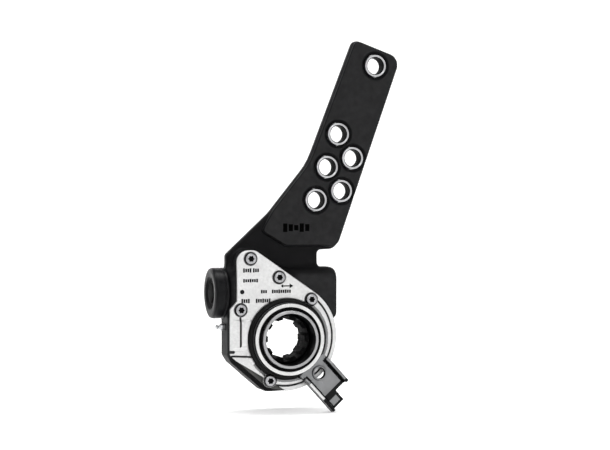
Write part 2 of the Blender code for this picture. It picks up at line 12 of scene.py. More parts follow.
import bmesh
import bpy
import numpy as np
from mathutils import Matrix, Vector


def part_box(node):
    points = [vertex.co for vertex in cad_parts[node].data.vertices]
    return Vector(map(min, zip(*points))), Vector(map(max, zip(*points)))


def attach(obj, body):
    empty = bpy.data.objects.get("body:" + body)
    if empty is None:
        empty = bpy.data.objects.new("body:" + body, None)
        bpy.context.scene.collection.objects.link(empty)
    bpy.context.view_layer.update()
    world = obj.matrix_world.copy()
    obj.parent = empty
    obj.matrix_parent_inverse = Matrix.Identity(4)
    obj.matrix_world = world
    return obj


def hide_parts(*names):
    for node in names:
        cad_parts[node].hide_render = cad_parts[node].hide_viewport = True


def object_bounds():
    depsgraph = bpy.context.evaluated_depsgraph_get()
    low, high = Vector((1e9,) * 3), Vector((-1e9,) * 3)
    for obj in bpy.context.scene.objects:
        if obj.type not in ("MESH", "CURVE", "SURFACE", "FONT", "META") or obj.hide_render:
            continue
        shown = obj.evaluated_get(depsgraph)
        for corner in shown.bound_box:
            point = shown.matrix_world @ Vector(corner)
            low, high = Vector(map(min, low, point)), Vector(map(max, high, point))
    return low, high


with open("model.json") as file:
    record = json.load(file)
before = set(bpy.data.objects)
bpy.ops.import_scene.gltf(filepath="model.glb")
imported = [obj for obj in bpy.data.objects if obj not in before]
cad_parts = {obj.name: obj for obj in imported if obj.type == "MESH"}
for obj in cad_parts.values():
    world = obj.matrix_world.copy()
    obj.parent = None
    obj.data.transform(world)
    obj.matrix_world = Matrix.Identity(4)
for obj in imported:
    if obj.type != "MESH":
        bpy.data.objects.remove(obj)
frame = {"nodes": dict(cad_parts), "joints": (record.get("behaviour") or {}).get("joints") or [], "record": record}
CAD_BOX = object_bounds()

MM = 0.001
HOUSING, CONTROL = "housing_body", "control_unit"


def node_box(node):
    """Lowest and highest corner of a CAD node in mm, as (x, height, z)."""
    low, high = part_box(node)
    return (low.x / MM, -high.y / MM, low.z / MM), (high.x / MM, -low.y / MM, high.z / MM)


JOINTS = {joint["name"]: joint for joint in frame["joints"]}
WORM_Z = JOINTS["worm_shaft_spin"]["pos_m"][2] / MM

BORE = (0, 0)
ARM_TILT = math.radians(19.6)
CLEVIS_HOLES = ((120, -12), (150, -12), (180, -12), (135, 7), (165, 7), (247, 0))
COVER_CENTRE, COVER_RADIUS = (-1.0, 1.5), 45.5
COVER_SCREWS = ((-32, 68), (-7, 52), (21.5, 33), (-40.5, 25), (-15, -35), (32.3, -21.3))
SCREW_HOLE = 3.0
BRACKET_ANGLE = math.radians(-47.6)
ANCHOR_REACH, ANCHOR_RADIUS = 39.5, 4.8
# The control arm is black past this reach along it.
BLACK_END_REACH = 57.6

ARM_BACK = node_box("clevis_bush_1")[0][1] + 0.4
ARM_FACE = node_box("clevis_bush_1")[1][1] - 0.4
NECK_FACE = ARM_FACE - 4.5
HOUSING_BACK = node_box("rear_seal")[1][1] + 0.3
HOUSING_FRONT = node_box("cover_gasket")[0][1] - 0.3
REAR_BOSS_BACK = node_box("housing")[0][1]
HOUSING_LEFT = node_box("worm_bore_cap")[1][0] + 0.3
HOUSING_RIGHT = node_box("worm_shaft")[1][0] + 1.0
COVER_BACK = node_box("cover_plate")[0][1]
COVER_FRONT = node_box("cover_plate")[1][1] - 1.8
RECESS_FLOOR = node_box("dust_seal")[0][1] - 0.3
BRACKET_BACK = node_box("control_arm_bracket")[0][1]
FLANGE_TOP = node_box("control_arm_bracket")[1][1]
HUB_BACK, HUB_SLEEVE = node_box("control_hub")[0][1], node_box("control_hub")[1][1]
HUB_FRONT = HUB_SLEEVE - 3.0
HUB_RADIUS = node_box("control_hub")[1][0]


# Outlines -----------------------------------------------------------------------------------


def arc(centre, radius, start, end, steps):
    """Points on a circle from start to end, both in degrees."""
    angles = [math.radians(start + (end - start) * i / steps) for i in range(steps + 1)]
    return [(centre[0] + radius * math.cos(a), centre[1] + radius * math.sin(a)) for a in angles]


def filleted(corners, step=6.0):
    """Outline through corners given as (x, z, fillet radius), with a step in degrees."""
    outline = []
    for i, (x, z, radius) in enumerate(corners):
        here = Vector((x, z))
        if radius <= 0:
            outline.append((x, z))
            continue
        before = (Vector(corners[i - 1][:2]) - here).normalized()
        after = (Vector(corners[(i + 1) % len(corners)][:2]) - here).normalized()
        half = before.angle(after) / 2
        centre = here + (before + after).normalized() * (radius / math.sin(half))
        first = here + before * (radius / math.tan(half)) - centre
        turn = math.pi - 2 * half
        side = 1 if before.cross(after) < 0 else -1
        steps = max(1, round(math.degrees(turn) / step))
        for k in range(steps + 1):
            angle = side * turn * k / steps
            cos, sin = math.cos(angle), math.sin(angle)
            outline.append(
                (
                    centre.x + first.x * cos - first.y * sin,
                    centre.y + first.x * sin + first.y * cos,
                )
            )
    return outline


def arm_point(station, offset):
    """A point of the lever arm, from its distance along the arm and its distance to the right."""
    cos, sin = math.cos(ARM_TILT), math.sin(ARM_TILT)
    return sin * station + cos * offset, cos * station - sin * offset


def neck_outline():
    """Lever arm and neck, down to the worm barrel."""
    return filleted(
        [
            (*arm_point(262, -24.5), 5),
            (*arm_point(262, 20), 10),
            (*arm_point(87, 20), 9),
            (31.5, 74.5, 3.5),
            (31.5, 58.0, 3.5),
            (40.0, 58.0, 0),
            (40.0, 30.0, 0),
            (-49.5, 30.0, 0),
            (-49.5, 71.0, 4),
            (*arm_point(97, -46), 30),
            (*arm_point(148, -28), 60),
        ]
    )


def pad_outline():
    """Raised face of the lever arm, which ends above the neck."""
    return filleted(
        [
            (*arm_point(261.6, -24.1), 5),
            (*arm_point(261.6, 19.6), 10),
            (*arm_point(88, 19.6), 9),
            (33.0, 78.4, 2),
            (2.0, 78.4, 4),
            (-19.0, 91.0, 3),
            (*arm_point(97.6, -45.4), 30),
            (*arm_point(148, -27.6), 60),
        ]
    )


def cover_outline():
    """Cover shape: a round part about the bore, with a corner over the rack at the upper left."""
    round_part = arc(COVER_CENTRE, COVER_RADIUS, 56.2, -111.0, 60)
    corner = filleted(
        [
            (*round_part[-1], 0),
            (-49.7, -13.0, 4),
            (-49.7, 26.0, 2),
            (-43.8, 32.5, 2),
            (-43.8, 75.0, 10),
            (-27.4, 75.0, 8),
            (*round_part[0], 0),
        ]
    )
    return round_part + corner[1:-1]


# Distance fields ----------------------------------------------------------------------------


class Grid:
    """A box of sample points, as (x, height, z) in mm."""

    def __init__(self, low, high, step):
        margin = 2 * step
        self.step = step
        self.low = np.array(low, np.float32) - margin
        counts = [int(math.ceil((b - a + 2 * margin) / step)) + 1 for a, b in zip(low, high)]
        axes = [self.low[i] + step * np.arange(counts[i], dtype=np.float32) for i in range(3)]
        self.x = axes[0][:, None, None]
        self.h = axes[1][None, :, None]
        self.z = axes[2][None, None, :]

    def polygon(self, outline):
        """Distance to an outline in the XZ plane, below zero inside."""
        px, pz = np.broadcast_arrays(self.x[:, 0, :], self.z[:, 0, :].reshape(1, -1))
        return polygon_distance(px, pz, outline)[:, None, :]

    def circle(self, centre, radius):
        """Distance to a circle in the XZ plane, below zero inside."""
        return np.sqrt((self.x - centre[0]) ** 2 + (self.z - centre[1]) ** 2) - radius


def polygon_distance(px, pz, outline):
    """Distance of places from a closed outline, below zero inside."""
    points = np.array(outline, np.float32)
    nearest = np.full(px.shape, 1e9, np.float32)
    inside = np.zeros(px.shape, bool)
    for (ax, az), (bx, bz) in zip(points, np.roll(points, -1, 0)):
        ex, ez = bx - ax, bz - az
        length = max(ex * ex + ez * ez, 1e-9)
        wx, wz = px - ax, pz - az
        share = np.clip((wx * ex + wz * ez) / length, 0, 1)
        nearest = np.minimum(nearest, (wx - ex * share) ** 2 + (wz - ez * share) ** 2)
        if az != bz:
            crosses = (az > pz) != (bz > pz)
            inside ^= crosses & (px < ax + (pz - az) * ex / ez)
    return np.where(inside, -1, 1) * np.sqrt(nearest)


def segment_distance(px, pz, start, end):
    """Distance of places from a line between two ends."""
    dx, dz = end[0] - start[0], end[1] - start[1]
    share = np.clip(((px - start[0]) * dx + (pz - start[1]) * dz) / (dx * dx + dz * dz), 0, 1)
    return np.hypot(px - start[0] - share * dx, pz - start[1] - share * dz)


def slab(flat, along, low, high, rounding=0.0):
    """Prism of a flat distance between two places, with its edges rounded."""
    wall = flat + rounding
    ends = np.abs(along - (low + high) / 2) - (high - low) / 2 + rounding
    outside = np.sqrt(np.maximum(wall, 0) ** 2 + np.maximum(ends, 0) ** 2)
    return outside + np.minimum(np.maximum(wall, ends), 0) - rounding


def join(a, b, fillet=0.0):
    """Union with a fillet in the corner."""
    if fillet <= 0:
        return np.minimum(a, b)
    blend = np.maximum(fillet - np.abs(a - b), 0) / fillet
    return np.minimum(a, b) - blend * blend * fillet / 4


def carve(a, b, rounding=0.0):
    """What is left of a without b, with the edge of the cut rounded."""
    return -join(-a, b, rounding)


CELL_CORNERS = [(i, j, k) for i in (0, 1) for j in (0, 1) for k in (0, 1)]
CELL_EDGES = [
    (a, b)
    for a in range(8)
    for b in range(a + 1, 8)
    if sum(abs(p - q) for p, q in zip(CELL_CORNERS[a], CELL_CORNERS[b])) == 1
]


def draw_surface(name, field, grid):
    """Mesh on the zero level of a field, by surface nets: one point in each cell it crosses."""
    inside = field < 0
    shape = tuple(n - 1 for n in field.shape)

    def shifted(array, corner):
        return array[tuple(slice(c, c + n) for c, n in zip(corner, shape))]

    count = sum(shifted(inside, corner).astype(np.int8) for corner in CELL_CORNERS)
    crossed = (count > 0) & (count < 8)
    cells = np.argwhere(crossed)
    index = np.full(shape, -1, np.int32)
    index[crossed] = np.arange(len(cells))
    values = np.stack([shifted(field, corner)[crossed] for corner in CELL_CORNERS], 1)
    total = np.zeros((len(cells), 3), np.float32)
    hits = np.zeros(len(cells), np.float32)
    for a, b in CELL_EDGES:
        start, end = (np.array(CELL_CORNERS[i], np.float32) for i in (a, b))
        va, vb = values[:, a], values[:, b]
        hit = (va < 0) != (vb < 0)
        share = np.where(hit, va / np.where(hit, va - vb, 1), 0)[:, None]
        total += (start + (end - start) * share) * hit[:, None]
        hits += hit
    points = (cells + total / hits[:, None]) * grid.step + grid.low
    points = points * np.array([1, -1, 1]) * MM
    return mesh_from(name, points, surface_quads(inside, index))


def surface_quads(inside, index):
    """One face across each grid edge that crosses the surface, from the points' numbers."""
    quads = []
    for axis in range(3):
        u, v = (axis + 1) % 3, (axis + 2) % 3
        low = [slice(1, -1)] * 3
        low[axis] = slice(0, -1)
        high = list(low)
        high[axis] = slice(1, None)
        a, b = inside[tuple(low)], inside[tuple(high)]
        offset = np.array([0 if i == axis else 1 for i in range(3)])
        for here, turned_round in ((a & ~b, False), (~a & b, True)):
            at = np.argwhere(here) + offset
            ring = []
            for du, dv in ((0, 0), (1, 0), (1, 1), (0, 1)):
                place = at.copy()
                place[:, u] -= du
                place[:, v] -= dv
                ring.append(index[tuple(place.T)])
            quad = np.stack(ring, 1)
            quads.append(quad if turned_round else quad[:, ::-1])
    return np.concatenate(quads)


def mesh_from(name, points, quads):
    """Smooth piece from points in metres and faces of four points."""
    mesh = bpy.data.meshes.new(name)
    mesh.vertices.add(len(points))
    mesh.vertices.foreach_set("co", np.asarray(points, np.float32).ravel())
    mesh.loops.add(len(quads) * 4)
    mesh.loops.foreach_set("vertex_index", np.asarray(quads, np.int32).ravel())
    mesh.polygons.add(len(quads))
    mesh.polygons.foreach_set("loop_start", np.arange(0, len(quads) * 4, 4, dtype=np.int32))
    mesh.update(calc_edges=True)
    mesh.validate()
    mesh.shade_smooth()
    return link(name, mesh)


def link(name, mesh):
    made = bpy.data.objects.new(name, mesh)
    bpy.context.scene.collection.objects.link(made)
    return made


# Turned pieces ------------------------------------------------------------------------------


def skin(name, rings, closed=False, crease=30.0):
    """Surface through rings of equally many points in mm, as (x, height, z)."""
    count = len(rings[0])
    points = [(x * MM, -h * MM, z * MM) for ring in rings for x, h, z in ring]
    faces = []
    pairs = list(zip(range(len(rings)), range(1, len(rings))))
    if closed:
        pairs.append((len(rings) - 1, 0))
    else:
        faces.append(tuple(range(count)))
        faces.append(tuple((len(rings) - 1) * count + i for i in range(count)))
    for low, high in pairs:
        for i in range(count):
            j = (i + 1) % count
            faces.append((low * count + i, low * count + j, high * count + j, high * count + i))
    mesh = bpy.data.meshes.new(name)
    mesh.from_pydata(points, [], faces)
    tidy_mesh(mesh)
    mesh.shade_smooth()
    mesh.set_sharp_from_angle(angle=math.radians(crease))
    return link(name, mesh)


def tidy_mesh(mesh):
    """Merges points that meet, drops empty faces and turns the rest outwards."""
    smallest = 0.0005 * MM
    work = bmesh.new()
    work.from_mesh(mesh)
    bmesh.ops.remove_doubles(work, verts=work.verts, dist=smallest)
    bmesh.ops.dissolve_degenerate(work, edges=work.edges, dist=smallest)
    bmesh.ops.recalc_face_normals(work, faces=work.faces)
    work.to_mesh(mesh)
    work.free()


def eased(profile, bevel):
    """A closed profile with each corner cut by a small round."""
    result = []
    for i, (a, r) in enumerate(profile):
        here = Vector((a, r))
        before = Vector(profile[i - 1]) - here
        after = Vector(profile[(i + 1) % len(profile)]) - here
        size = min(bevel, before.length * 0.4, after.length * 0.4)
        if r <= 0 or size < 0.02:
            result.append((a, r))
            continue
        first, last = here + before.normalized() * size, here + after.normalized() * size
        for share in (0.0, 0.33, 0.67, 1.0):
            bend = first.lerp(here, share).lerp(here.lerp(last, share), share)
            result.append(tuple(bend))
    return result


def turned(name, profile, axis, centre, segments=96, bevel=0.0):
    """Solid turned about an axis from a closed profile of (place along the axis, radius)."""
    if bevel:
        profile = eased(profile, bevel)
    rings = []
    for k in range(segments):
        cos, sin = math.cos(2 * math.pi * k / segments), math.sin(2 * math.pi * k / segments)
        if axis == "Y":
            rings.append([(centre[0] + r * cos, a, centre[1] + r * sin) for a, r in profile])
        else:
            rings.append([(a, centre[0] + r * cos, centre[1] + r * sin) for a, r in profile])
    return skin(name, rings, closed=True)


# Materials ----------------------------------------------------------------------------------


class Paint:
    """A Principled material, built up from noise, wear and bump."""

    def __init__(self, name, colour, roughness, metallic=0.0, specular=0.5):
        self.material = bpy.data.materials.new(name)
        self.material.use_nodes = True
        self.tree = self.material.node_tree
        self.shader = self.tree.nodes["Principled BSDF"]
        self.shader.inputs["Base Color"].default_value = (*colour, 1)
        self.shader.inputs["Roughness"].default_value = roughness
        self.shader.inputs["Metallic"].default_value = metallic
        self.shader.inputs["Specular IOR Level"].default_value = specular
        self.base = colour
        self.colour = None
        self.height = None

    def node(self, kind, **settings):
        made = self.tree.nodes.new(kind)
        for key, value in settings.items():
            setattr(made, key, value)
        return made

    def wire(self, source, target):
        self.tree.links.new(source, target)

    def place(self, stretch=(1, 1, 1)):
        """The piece's own coordinates in metres."""
        mapping = self.node("ShaderNodeMapping")
        mapping.inputs["Scale"].default_value = stretch
        self.wire(self.node("ShaderNodeTexCoord").outputs["Object"], mapping.inputs["Vector"])
        return mapping.outputs["Vector"]

    def noise(self, size, detail=3.0, stretch=(1, 1, 1), contrast=(0.0, 1.0), low=0.3, high=0.7):
        """Noise with features of a size in mm, as a value between two contrast limits."""
        made = self.node("ShaderNodeTexNoise")
        made.inputs["Scale"].default_value = 1 / (size * MM)
        made.inputs["Detail"].default_value = detail
        self.wire(self.place(stretch), made.inputs["Vector"])
        return self.span(made.outputs["Fac"], low, high, contrast)

    def edges(self, low=0.52, high=0.60):
        """Worn edges: convex places, broken up by noise."""
        pointiness = self.node("ShaderNodeNewGeometry").outputs["Pointiness"]
        return self.times(self.span(pointiness, low, high), self.noise(3.0, 5.0))

    def ramp(self, axis, start, end):
        """Rises from 0 to 1 between two places in mm along an axis of the piece."""
        place = self.node("ShaderNodeSeparateXYZ")
        self.wire(self.node("ShaderNodeTexCoord").outputs["Object"], place.inputs[0])
        return self.span(place.outputs[axis], start * MM, end * MM)

    def facing(self, axis, start, end):
        """Rises from 0 to 1 as the surface turns towards a direction of the piece."""
        way = self.node("ShaderNodeSeparateXYZ")
        self.wire(self.node("ShaderNodeTexCoord").outputs["Normal"], way.inputs[0])
        return self.span(way.outputs[axis], start, end)

    def reach(self, direction, start, end):
        """Rises from 0 to 1 between two distances in mm along a direction."""
        made = self.node("ShaderNodeVectorMath", operation="DOT_PRODUCT")
        self.wire(self.node("ShaderNodeTexCoord").outputs["Object"], made.inputs[0])
        made.inputs[1].default_value = direction
        return self.span(made.outputs["Value"], start * MM, end * MM)

    def span(self, source, start, end, result=(0.0, 1.0)):
        """Carries a value from one range over to another."""
        made = self.node("ShaderNodeMapRange")
        made.inputs["From Min"].default_value = start
        made.inputs["From Max"].default_value = end
        made.inputs["To Min"].default_value = result[0]
        made.inputs["To Max"].default_value = result[1]
        self.wire(source, made.inputs["Value"])
        return made.outputs["Result"]

    def times(self, a, b):
        """Product of two values, each a number or a socket, kept between 0 and 1."""
        made = self.node("ShaderNodeMath", operation="MULTIPLY")
        made.use_clamp = True
        for socket, value in zip(made.inputs, (a, b)):
            if isinstance(value, (int, float)):
                socket.default_value = value
            else:
                self.wire(value, socket)
        return made.outputs[0]

    def tint(self, share, colour):
        """Mixes another colour in where share is high."""
        mix = self.node("ShaderNodeMix", data_type="RGBA")
        colours = [socket for socket in mix.inputs if socket.type == "RGBA"]
        colours[1].default_value = (*colour, 1)
        if self.colour is None:
            colours[0].default_value = (*self.base, 1)
        else:
            self.wire(self.colour, colours[0])
        self.wire(share, mix.inputs["Factor"])
        self.colour = [socket for socket in mix.outputs if socket.type == "RGBA"][0]
        self.wire(self.colour, self.shader.inputs["Base Color"])

    def gloss(self, size, low, high):
        """Roughness that wanders between two values."""
        self.wire(self.noise(size, 4.0, contrast=(low, high)), self.shader.inputs["Roughness"])

    def bump(self, size, depth, detail=3.0, stretch=(1, 1, 1)):
        """Relief with features of a size, and a depth, in mm."""
        made = self.node("ShaderNodeBump")
        made.inputs["Distance"].default_value = depth * MM
        made.inputs["Strength"].default_value = 1.0
        self.wire(self.noise(size, detail, stretch, low=0.0, high=1.0), made.inputs["Height"])
        if self.height:
            self.wire(self.height, made.inputs["Normal"])
        self.height = made.outputs["Normal"]
        self.wire(self.height, self.shader.inputs["Normal"])


def black_paint():
    """Black paint, a little paler on the faces of the lever arm and the worm barrel."""
    made = Paint("black_paint", (0.0035, 0.0035, 0.0038), 0.46, specular=0.06)
    made.tint(made.noise(40, 3), (0.0055, 0.0055, 0.006))
    front = made.ramp("Y", 1.4 - ARM_FACE, 0.6 - ARM_FACE)
    front = made.times(front, made.facing("Y", -0.80, -0.96))
    front = made.times(front, made.ramp("Z", -2, 6))
    made.tint(front, (0.0135, 0.0135, 0.014))
    specks = made.times(front, made.noise(5, 4, contrast=(0, 0.7)))
    made.tint(specks, (0.021, 0.021, 0.0217))
    made.tint(made.times(made.edges(), 0.2), (0.035, 0.035, 0.037))
    made.gloss(14, 0.40, 0.54)
    made.bump(1.6, 0.05, 4)
    made.bump(9.0, 0.12, 2)
    return made.material


def cover_metal():
    """Pale zinc, with painted shade that darkens it, down to near black, on the floors of its recesses and
    grooves.
    """
    made = Paint("cover_zinc", (0.68, 0.68, 0.677), 0.38, 0.62)
    made.tint(made.noise(16, 4), (0.60, 0.60, 0.597))
    made.tint(made.noise(2.0, 5, contrast=(0, 0.42)), (0.44, 0.44, 0.44))
    # Painted shade: the deeper a face lies below the cover's front, the darker it is painted.
    made.tint(made.ramp("Y", 1.0 - COVER_FRONT, 1.3 - COVER_FRONT), (0.16, 0.16, 0.162))
    made.tint(made.ramp("Y", 1.5 - COVER_FRONT, 2.2 - COVER_FRONT), (0.02, 0.02, 0.021))
    made.gloss(6, 0.30, 0.48)
    made.bump(0.9, 0.04, 4)
    return made.material


def turned_steel(name, colour, roughness):
    """Steel with fine tool marks that run round the Y axis."""
    made = Paint(name, colour, roughness, 1.0)
    made.tint(made.noise(9, 4, contrast=(0, 0.7)), tuple(c * 0.78 for c in colour))
    made.gloss(4, roughness - 0.07, roughness + 0.08)
    made.bump(0.7, 0.015, 3, (1, 6, 1))
    return made.material


def pressed_zinc(name, colour):
    """Zinc plate, brighter along its edges."""
    made = Paint(name, colour, 0.34, 1.0)
    made.tint(made.noise(12, 4, contrast=(0, 0.8)), tuple(c * 0.78 for c in colour))
    made.tint(made.edges(0.51, 0.56), tuple(min(1, c * 1.5) for c in colour))
    made.gloss(5, 0.27, 0.42)
    made.bump(0.8, 0.03, 4)
    return made.material


def soft_black(name, colour, roughness, grain, specular=0.3):
    """Rubber, plastic or ink with a fine grain."""
    made = Paint(name, colour, roughness, specular=specular)
    made.tint(made.noise(10, 3, contrast=(0, 0.8)), tuple(c * 1.7 for c in colour))
    made.gloss(5, roughness - 0.06, roughness + 0.08)
    made.bump(grain, 0.02, 3)
    return made.material


def blackened_steel_and_shade(name):
    """Blackened steel, nearly without gloss; other pieces also take it as painted shade."""
    made = Paint(name, (0.003, 0.003, 0.0032), 0.55, specular=0.015)
    made.tint(made.noise(5, 4, contrast=(0, 0.8)), (0.007, 0.007, 0.0072))
    made.gloss(4, 0.45, 0.65)
    made.bump(0.9, 0.02, 3)
    return made.material


def sheared_zinc(name, colour):
    """Zinc sheet, with painted shade darkening its sides. The control arm's end is black past a set reach, but for
    a patch left in the zinc colour.
    """
    made = Paint(name, colour, 0.34, 1.0)
    made.tint(made.noise(10, 4, contrast=(0, 0.8)), tuple(c * 0.72 for c in colour))
    # Painted shade: faces turned away from both front and back are darkened.
    sides = made.times(made.facing("Y", -0.92, -0.7), made.facing("Y", 0.92, 0.7))
    made.tint(sides, (0.05, 0.05, 0.052))
    along = (math.cos(BRACKET_ANGLE), 0, math.sin(BRACKET_ANGLE))
    across = (-math.sin(BRACKET_ANGLE), 0, math.cos(BRACKET_ANGLE))
    soft, near, far, low, high = 0.4, 63.4, 69.4, -11.8, -1.4
    patch = made.times(made.reach(along, near, near + soft), made.reach(along, far, far - soft))
    band = made.times(made.reach(across, low, low + soft), made.reach(across, high, high - soft))
    patch = made.times(patch, band)
    # Near-black past a set reach along the arm, but for the patch.
    black_end = made.reach(along, BLACK_END_REACH, BLACK_END_REACH + soft)
    made.tint(made.times(black_end, made.span(patch, 1, 0)), (0.012, 0.012, 0.0125))
    made.gloss(5, 0.27, 0.42)
    made.bump(0.8, 0.03, 4)
    return made.material


FINISHES = {
    "black_paint": black_paint(),
    "cover_zinc": cover_metal(),
    "machined_steel": turned_steel("machined_steel", (0.62, 0.62, 0.615), 0.30),
    "zinc_steel": pressed_zinc("zinc_steel", (0.56, 0.57, 0.58)),
    "dark_steel": blackened_steel_and_shade("dark_steel"),
    "spring_steel": turned_steel("spring_steel", (0.30, 0.30, 0.31), 0.34),
    "bronze": turned_steel("bronze", (0.60, 0.42, 0.20), 0.34),
    "bush_steel": pressed_zinc("bush_steel", (0.44, 0.44, 0.45)),
    "screw_steel": pressed_zinc("screw_steel", (0.34, 0.34, 0.35)),
    "ring_steel": turned_steel("ring_steel", (0.34, 0.34, 0.345), 0.32),
    "painted_recess_shade": pressed_zinc("painted_recess_shade", (0.20, 0.20, 0.202)),
    "marking": soft_black("marking", (0.012, 0.012, 0.0125), 0.6, 0.6, 0.0),
    "arm_marking": soft_black("arm_marking", (0.001, 0.001, 0.001), 0.7, 0.6, 0.0),
    "arm_zinc": sheared_zinc("arm_zinc", (0.21, 0.213, 0.217)),
    "black_plastic": soft_black("black_plastic", (0.0035, 0.0035, 0.004), 0.34, 0.8, 0.1),
    "rubber": soft_black("rubber", (0.006, 0.006, 0.006), 0.60, 0.5, 0.1),
    "gasket": soft_black("gasket", (0.05, 0.05, 0.048), 0.7, 0.6),
}


def recolour(piece, slot, chosen):
    """Gives another finish to the faces whose middle, as (x, height, z) in mm, passes a test."""
    mesh = piece.data
    mesh.materials.append(FINISHES[slot])
    for face in mesh.polygons:
        x, y, z = face.center / MM
        if chosen(x, -y, z):
            face.material_index = len(mesh.materials) - 1


def dress(piece, body, slot, *nodes, finish=None):
    """Gives a piece its finish and body, and lets it stand for CAD nodes; the slot names the finish when no other
    is given.
    """
    piece.data.materials.clear()
    piece.data.materials.append(FINISHES[finish or slot])
    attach(piece, body)
    if nodes:
        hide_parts(*nodes)
    return piece


# Housing ------------------------------------------------------------------------------------


def housing_walls(grid):
    """Outside of the casting: lever arm, cover seat, wheel drum, rear boss and worm barrel."""
    x, h, z = grid.x, grid.h, grid.z
    body = slab(grid.polygon(neck_outline()), h, ARM_BACK, NECK_FACE, 1.6)
    pad = slab(grid.polygon(pad_outline()), h, ARM_BACK + 2.5, ARM_FACE, 1.1)
    body = join(body, pad, 2.5)

    seat, seat_back = grid.polygon(cover_outline()), -6.0
    body = join(body, slab(seat, h, seat_back, HOUSING_FRONT, 0.6), 4.0)
    grow = 3.2 * np.clip((-3.0 - x) / 14.0, 0, 1) * np.clip((-11.0 - z) / 9.0, 0, 1)
    foot = slab(seat - grow, h, seat_back, HOUSING_FRONT - 2.0, 1.5)
    body = join(body, foot, 2.0)

    drum, boss = grid.circle(COVER_CENTRE, COVER_RADIUS - 1.0), grid.circle(BORE, 30.0)
    body = join(body, slab(drum, h, HOUSING_BACK, 8.0, 3.0), 3.0)
    body = join(body, slab(boss, h, REAR_BOSS_BACK, 0.0, 0.8), 2.5)
    rib = segment_distance(x, z, (14.0, 58.0), (52.0, 132.0)) - 4.5
    body = join(body, slab(rib, h, ARM_BACK - 1.8, ARM_BACK + 3.0, 1.5), 2.5)

    back, front = HOUSING_BACK - 3.0, HOUSING_FRONT - 0.2
    bottom, top = WORM_Z - 21.0, WORM_Z + 21.0
    section = filleted([(back, bottom, 9), (front, bottom, 1), (front, top, 10), (back, top, 13)])
    hh, zz = np.broadcast_arrays(h[0, :, 0][:, None], z[0, 0, :][None, :])
    barrel = slab(polygon_distance(hh, zz, section)[None], x, HOUSING_LEFT, HOUSING_RIGHT, 4.5)
    body = join(body, barrel, 5.0)
    blank_plate = np.maximum(np.abs(x - 22.0) - 15.0, np.abs(z - WORM_Z) - 6.0)
    return join(body, slab(blank_plate, h, HOUSING_BACK - 4.2, HOUSING_BACK, 0.6), 0.8)


def cut_housing(grid, body):
    """Takes the room of the pieces it holds out of the casting."""
    x, h, z = grid.x, grid.h, grid.z
    behind, ahead = -40, 40
    wheel_room, rear_bore, rear_seal_room = 33.3, 22.9, 26.2
    body = carve(body, slab(grid.circle(BORE, wheel_room), h, -9.6, ahead))
    body = carve(body, slab(grid.circle(BORE, rear_bore), h, behind, 0), 0.8)
    body = carve(body, slab(grid.circle(BORE, rear_seal_room), h, behind, HOUSING_BACK), 0.8)

    across = np.sqrt(h ** 2 + (z - WORM_Z) ** 2)
    worm_bore, shaft_seal_room, shaft_bore = 11.6, 8.6, 5.2
    body = carve(body, slab(across - worm_bore, x, HOUSING_LEFT - 9, 38.0))
    body = carve(body, slab(across - shaft_seal_room, x, 40.0, 70.0), 1.0)
    body = carve(body, slab(across - shaft_bore, x, 30.0, 60.0))

    rack_channel = np.maximum(np.abs(x + 33.0) - 3.4, np.abs(z - 25.0) - 39.0)
    body = carve(body, np.maximum(rack_channel, 3.0 - h))
    window = np.maximum(np.maximum(-38.0 - x, x + 20.0), np.maximum(-11.0 - z, z - 8.5))
    body = carve(body, np.maximum(window, 12.2 - h))

    for place in COVER_SCREWS:
        body = carve(body, slab(grid.circle(place, SCREW_HOLE), h, 9.2, ahead))
    clevis_hole, seat_width, seat_depth = 9.7, 2.1, 1.6
    for hole in CLEVIS_HOLES:
        flat = grid.circle(arm_point(*hole), clevis_hole)
        seat = flat - seat_width
        body = carve(body, slab(flat, h, -20, 30))
        body = carve(body, slab(seat, h, ARM_FACE - seat_depth, ARM_FACE + 5), 0.6)
        body = carve(body, slab(seat, h, ARM_BACK - 5, ARM_BACK + seat_depth), 0.6)
    return body


def make_housing():
    grid = Grid(*node_box("housing"), 0.8)
    body = cut_housing(grid, housing_walls(grid))
    dress(draw_surface("housing_casting", body, grid), HOUSING, "black_paint", "housing")


def make_bushes():
    """Hardened bushes, pressed into the clevis holes and a little proud of the arm."""
    inner, outer, lip = 7.15, 9.4, 0.9
    back, face = ARM_BACK - 0.4, ARM_FACE + 0.4
    profile = [(back, inner + lip), (back + lip, inner), (face - lip, inner), (face, inner + lip)]
    profile += [(face, outer), (back, outer)]
    for i, hole in enumerate(CLEVIS_HOLES, 1):
        centre = arm_point(*hole)
        bush = turned(f"bush_{i}", profile, "Y", centre, 72, 0.35)
        dress(bush, HOUSING, "zinc_steel", f"clevis_bush_{i}", finish="bush_steel")
        # Painted shade: each bush's bore takes the near-black finish.
        recolour(bush, "dark_steel", lambda x, h, z: math.dist((x, z), centre) < inner + 0.7)


def make_cap():
    """Cap of the worm bore, with a dished middle, a round rim and a groove at its foot."""
    low, high = node_box("worm_bore_cap")
    face, back, radius = low[0], high[0], (high[2] - low[2]) / 2
    dish, hollow, floor = 13.0, 15.6, back - 2.0
    profile = [(face + 0.8, 0), (face + 0.8, 8.0), (face + 2.0, 8.6), (face + 2.0, dish + 0.4)]
    profile += [(face + 0.2, dish + 1.2), (face, radius - 3.0), (face + 0.7, radius - 0.8)]
    profile += [(face + 2.6, radius), (back - 3.2, radius), (back - 2.9, radius - 0.7)]
    profile += [(floor, radius - 0.7), (back - 1.7, radius), (back, radius), (back, hollow + 2.6)]
    profile += [(floor, hollow + 2.6), (floor, hollow), (back, hollow), (back, dish)]
    profile += [(face + 3.8, dish), (face + 3.8, 0)]
    cap = turned("bore_cap", profile, "X", (0, WORM_Z), 96, 0.5)
    dress(cap, HOUSING, "black_plastic", "worm_bore_cap")

    def in_dish(x, h, z):
        return x < face + 3 and math.hypot(h, z - WORM_Z) < dish

    recolour(cap, "dark_steel", in_dish)


